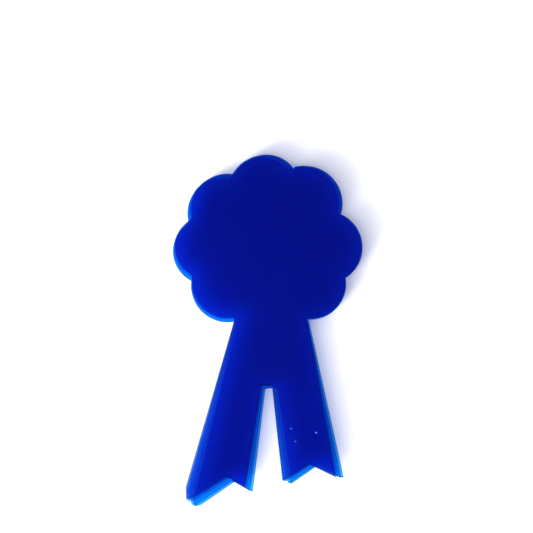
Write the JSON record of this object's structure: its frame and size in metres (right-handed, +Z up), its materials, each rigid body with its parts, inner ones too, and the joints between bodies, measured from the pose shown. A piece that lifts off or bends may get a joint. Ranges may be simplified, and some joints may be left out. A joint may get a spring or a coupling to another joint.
{
  "type": "award ribbon",
  "caption": "Loose fanned pile of flat see-through blue plastic award ribbon shapes, each a lobed rosette with notched tails.",
  "frame": {"origin": "centre of the rosette, on the underside of the lowest sheet", "axes": "+Y from the tails up to the top of the rosette, +Z up through the pile, +X to the right as seen from above"},
  "size_m": [0.0808, 0.1495, 0.0055],
  "materials": {
    "blue_plastic": "satin, see-through"
  },
  "bodies": {
    "sheet_01": {"sheet_01": "blue_plastic"},
    "sheet_02": {"sheet_02": "blue_plastic"},
    "sheet_03": {"sheet_03": "blue_plastic"},
    "sheet_04": {"sheet_04": "blue_plastic"},
    "sheet_05": {"sheet_05": "blue_plastic"},
    "sheet_06": {"sheet_06": "blue_plastic"},
    "sheet_07": {"sheet_07": "blue_plastic"},
    "sheet_08": {"sheet_08": "blue_plastic"},
    "sheet_09": {"sheet_09": "blue_plastic"},
    "sheet_10": {"sheet_10": "blue_plastic"}
  },
  "joints": [
    {"name": "lift_02", "type": "slide", "parent": "sheet_01", "child": "sheet_02", "axis": [0, 0, 1], "range_m": [0, 0.03]},
    {"name": "lift_03", "type": "slide", "parent": "sheet_02", "child": "sheet_03", "axis": [0, 0, 1], "range_m": [0, 0.03]},
    {"name": "lift_04", "type": "slide", "parent": "sheet_03", "child": "sheet_04", "axis": [0, 0, 1], "range_m": [0, 0.03]},
    {"name": "lift_05", "type": "slide", "parent": "sheet_04", "child": "sheet_05", "axis": [0, 0, 1], "range_m": [0, 0.03]},
    {"name": "lift_06", "type": "slide", "parent": "sheet_05", "child": "sheet_06", "axis": [0, 0, 1], "range_m": [0, 0.03]},
    {"name": "lift_07", "type": "slide", "parent": "sheet_06", "child": "sheet_07", "axis": [0, 0, 1], "range_m": [0, 0.03]},
    {"name": "lift_08", "type": "slide", "parent": "sheet_07", "child": "sheet_08", "axis": [0, 0, 1], "range_m": [0, 0.03]},
    {"name": "lift_09", "type": "slide", "parent": "sheet_08", "child": "sheet_09", "axis": [0, 0, 1], "range_m": [0, 0.03]},
    {"name": "lift_10", "type": "slide", "parent": "sheet_09", "child": "sheet_10", "axis": [0, 0, 1], "range_m": [0, 0.03]}
  ]
}
